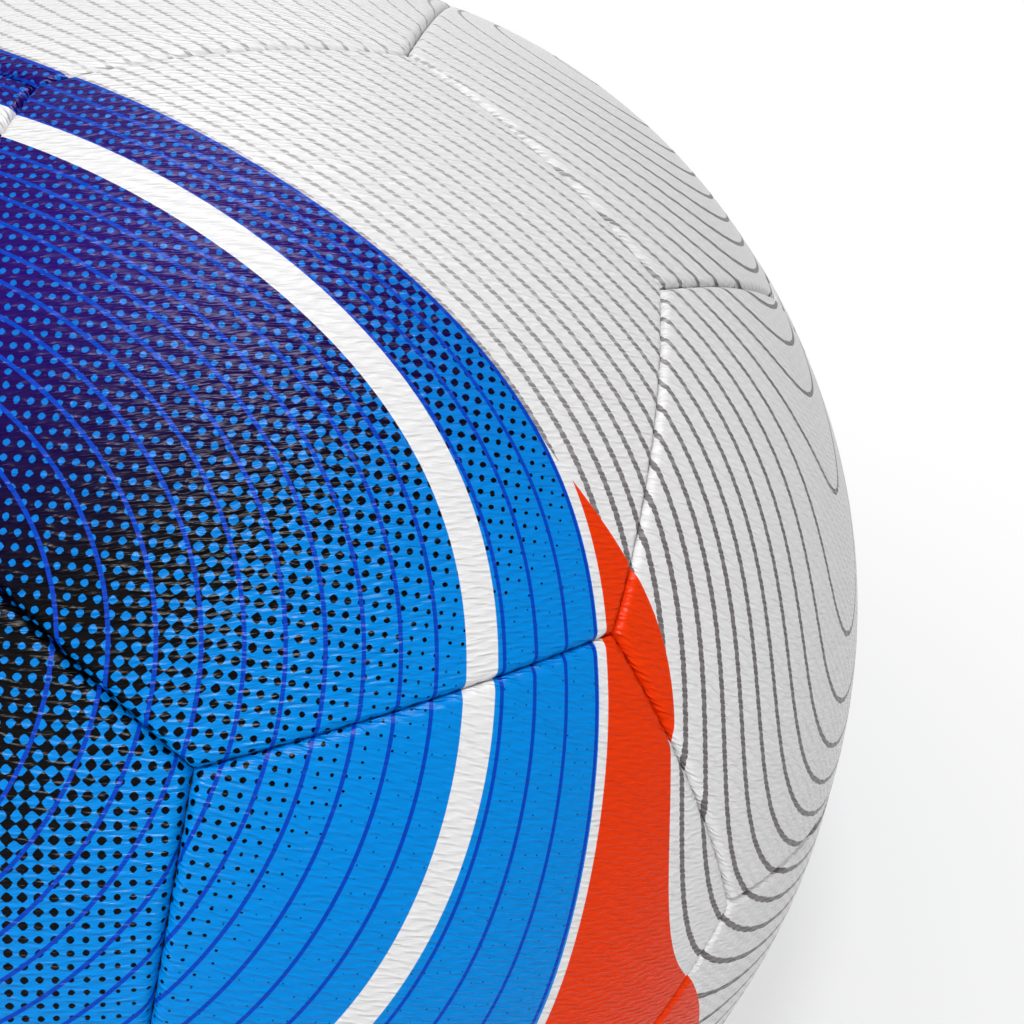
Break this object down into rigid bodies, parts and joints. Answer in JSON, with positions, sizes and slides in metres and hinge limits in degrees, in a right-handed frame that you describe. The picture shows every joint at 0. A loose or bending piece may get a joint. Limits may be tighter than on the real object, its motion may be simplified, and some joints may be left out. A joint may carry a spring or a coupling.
{
  "type": "soccer ball",
  "caption": "Round stitched soccer ball of grained hexagonal and pentagonal panels over an inflated bladder, with a recessed needle valve, for kicking, passing and heading games.",
  "frame": {"origin": "centre of the ball", "axes": "+Z out through the valve in the middle of a hexagon, +Y towards one of the three pentagons round that hexagon"},
  "size_m": [0.219, 0.2196, 0.2199],
  "materials": {
    "cover": "grained synthetic leather, semi-gloss, printed",
    "lining": "plain woven plies",
    "patch": "rubbered cloth",
    "thread": "waxed twisted thread",
    "bladder": "matte",
    "valve_rubber": "matte moulded",
    "plug_rubber": "satin moulded"
  },
  "bodies": {
    "root": {"valve_panel": "cover", "hexagon_panel_01": "cover", "hexagon_panel_02": "cover", "hexagon_panel_03": "cover", "hexagon_panel_04": "cover", "hexagon_panel_05": "cover", "hexagon_panel_06": "cover", "hexagon_panel_07": "cover", "hexagon_panel_08": "cover", "hexagon_panel_09": "cover", "hexagon_panel_10": "cover", "hexagon_panel_11": "cover", "hexagon_panel_12": "cover", "hexagon_panel_13": "cover", "hexagon_panel_14": "cover", "hexagon_panel_15": "cover", "hexagon_panel_16": "cover", "hexagon_panel_17": "cover", "hexagon_panel_18": "cover", "hexagon_panel_19": "cover", "pentagon_panel_01": "cover", "pentagon_panel_02": "cover", "pentagon_panel_03": "cover", "pentagon_panel_04": "cover", "pentagon_panel_05": "cover", "pentagon_panel_06": "cover", "pentagon_panel_07": "cover", "pentagon_panel_08": "cover", "pentagon_panel_09": "cover", "pentagon_panel_10": "cover", "pentagon_panel_11": "cover", "pentagon_panel_12": "cover", "hexagon_linings": "lining", "pentagon_linings": "lining", "valve_patch": "patch", "hexagon_seam_thread": "thread", "pentagon_seam_thread": "thread", "bladder": "bladder", "valve_body": "valve_rubber", "valve_plug": "plug_rubber"}
  },
  "joints": []
}
